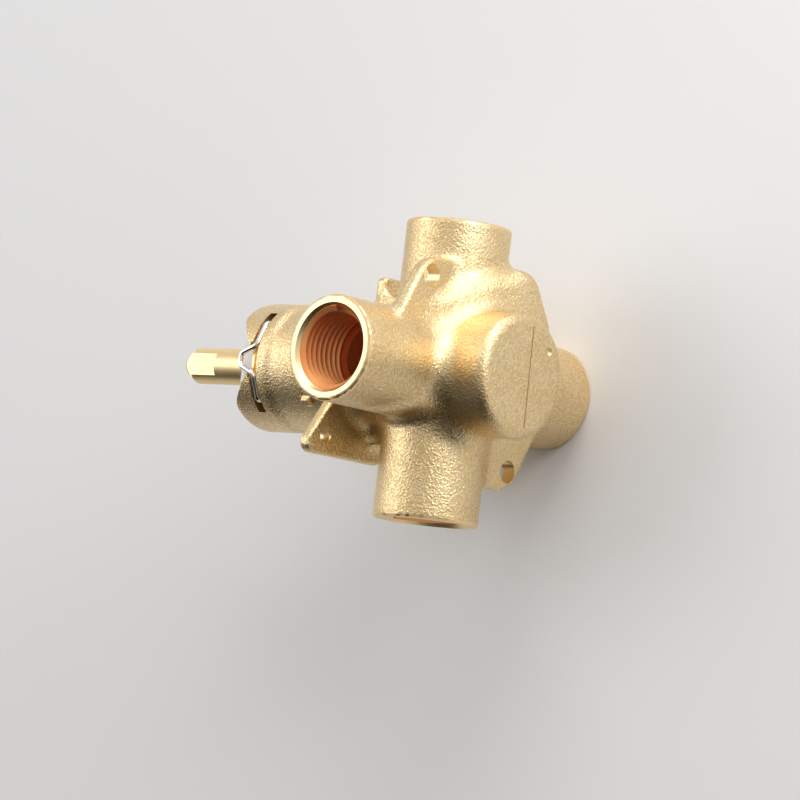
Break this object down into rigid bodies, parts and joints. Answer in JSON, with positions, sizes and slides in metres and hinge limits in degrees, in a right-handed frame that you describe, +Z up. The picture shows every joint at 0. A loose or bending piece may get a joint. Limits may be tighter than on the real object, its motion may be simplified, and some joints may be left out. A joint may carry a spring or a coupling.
{
  "type": "pressure balance shower valve",
  "caption": "Rough cast brass shower mixing valve: pipe ports in a cross, back lugs, trim screw ears and a cartridge with a turning stem that mixes hot and cold water.",
  "frame": {"origin": "centre of the mounting lugs' hole circle, in their rear face, on the barrel axis", "axes": "+Z up along the shower outlet, +Y to the back cap, +X along the cold inlet"},
  "size_m": [0.0768, 0.1149, 0.0876],
  "materials": {
    "cast_brass": "blasted casting",
    "turned_brass": "turned",
    "chrome_wire": "bright",
    "white_plastic": "moulded",
    "inner_plastic": "moulded",
    "spool_steel": "ground",
    "seal_rubber": "moulded"
  },
  "bodies": {
    "valve": {"valve_body": "cast_brass", "retainer_clip": "chrome_wire", "cartridge_shell": "white_plastic", "shell_front_o_ring": "seal_rubber", "shell_rear_o_ring": "seal_rubber", "hot_inlet_seal": "seal_rubber", "cold_inlet_seal": "seal_rubber", "shell_end_cap": "white_plastic", "end_cap_o_ring": "seal_rubber"},
    "stem": {"stem": "turned_brass", "thrust_washer": "inner_plastic", "stem_front_o_ring": "seal_rubber", "stem_rear_o_ring": "seal_rubber", "rotor_sleeve": "inner_plastic", "rotor_front_o_ring": "seal_rubber", "rotor_rear_o_ring": "seal_rubber", "spool_plug": "inner_plastic"},
    "spool": {"balance_spool": "spool_steel"}
  },
  "joints": [
    {"name": "stem_turn", "type": "hinge", "parent": "valve", "child": "stem", "pos_m": [0, 0, 0], "axis": [0, -1, 0], "range_deg": [0, 270]},
    {"name": "spool_slide", "type": "slide", "parent": "stem", "child": "spool", "axis": [0, -1, 0], "range_m": [-0.0025, 0.0025]}
  ]
}
